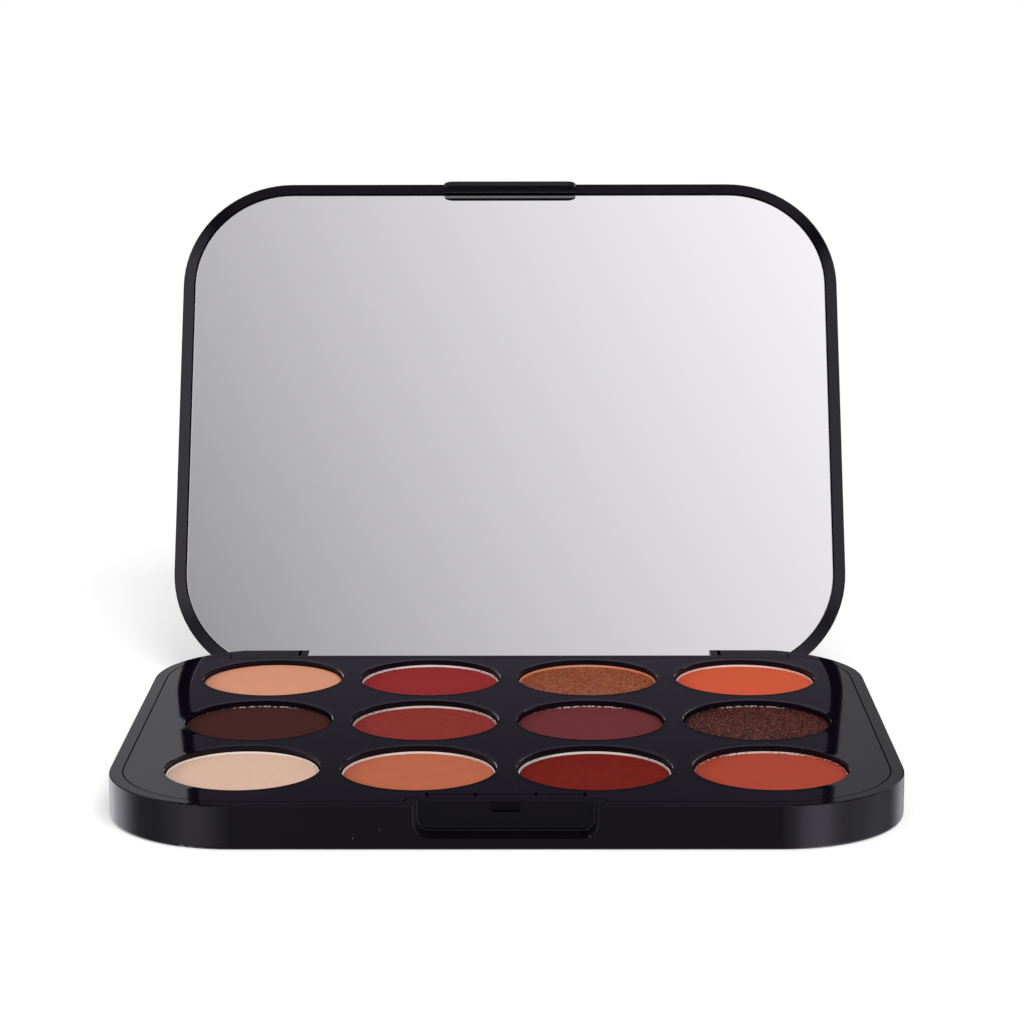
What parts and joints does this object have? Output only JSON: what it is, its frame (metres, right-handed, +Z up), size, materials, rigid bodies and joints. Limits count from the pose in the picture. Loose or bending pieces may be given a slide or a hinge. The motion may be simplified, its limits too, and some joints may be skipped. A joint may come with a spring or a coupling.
{
  "type": "eyeshadow palette",
  "caption": "Slim hinged compact with round pressed-powder pans in a flush tray, a mirror in the lid, a thumb recess with a catch nose, and a pinned rear hinge.",
  "frame": {"origin": "centre of the flat face that the base rests on", "axes": "+X to the right seen from the front, +Y from the thumb recess towards the hinge, +Z up; the lid stands open"},
  "size_m": [0.114, 0.1318, 0.0814],
  "materials": {
    "case_black": "high gloss moulded, black",
    "tray_black": "high gloss moulded, black",
    "pan_metal": "bright drawn metal, dusted with powder",
    "glue_pad": "matt adhesive",
    "pin_steel": "drawn wire",
    "mirror_tape": "matt foam",
    "mirror_glass": "silvered glass with a ground edge",
    "powder_peach": "pressed powder, matte",
    "powder_deep_red": "pressed powder, satin",
    "powder_copper": "pressed powder, shimmer",
    "powder_burnt_orange": "pressed powder, matte",
    "powder_plum_brown": "pressed powder, matte",
    "powder_garnet": "pressed powder, satin with fine grain",
    "powder_maroon": "pressed powder, matte",
    "powder_dark_brown": "pressed powder, glitter",
    "powder_champagne": "pressed powder, shimmer",
    "powder_terracotta": "pressed powder, matte",
    "powder_oxblood": "pressed powder, satin",
    "powder_brick": "pressed powder, satin"
  },
  "bodies": {
    "base": {"base_shell": "case_black", "pan_tray": "tray_black", "glue_pad_back_1": "glue_pad", "glue_pad_back_2": "glue_pad", "glue_pad_back_3": "glue_pad", "glue_pad_back_4": "glue_pad", "glue_pad_middle_1": "glue_pad", "glue_pad_middle_2": "glue_pad", "glue_pad_middle_3": "glue_pad", "glue_pad_middle_4": "glue_pad", "glue_pad_front_1": "glue_pad", "glue_pad_front_2": "glue_pad", "glue_pad_front_3": "glue_pad", "glue_pad_front_4": "glue_pad", "pan_back_1": "pan_metal", "pan_back_2": "pan_metal", "pan_back_3": "pan_metal", "pan_back_4": "pan_metal", "pan_middle_1": "pan_metal", "pan_middle_2": "pan_metal", "pan_middle_3": "pan_metal", "pan_middle_4": "pan_metal", "pan_front_1": "pan_metal", "pan_front_2": "pan_metal", "pan_front_3": "pan_metal", "pan_front_4": "pan_metal", "powder_back_1": "powder_peach", "powder_back_2": "powder_deep_red", "powder_back_3": "powder_copper", "powder_back_4": "powder_burnt_orange", "powder_middle_1": "powder_plum_brown", "powder_middle_2": "powder_garnet", "powder_middle_3": "powder_maroon", "powder_middle_4": "powder_dark_brown", "powder_front_1": "powder_champagne", "powder_front_2": "powder_terracotta", "powder_front_3": "powder_oxblood", "powder_front_4": "powder_brick", "hinge_pin_left": "pin_steel", "hinge_pin_right": "pin_steel"},
    "lid": {"lid_shell": "case_black", "mirror_tape": "mirror_tape", "mirror_glass": "mirror_glass"}
  },
  "joints": [
    {"name": "lid_hinge", "type": "hinge", "parent": "base", "child": "lid", "pos_m": [0, 0.0431, 0.00355], "axis": [1, 0, 0], "range_deg": [0, 116.5]}
  ]
}
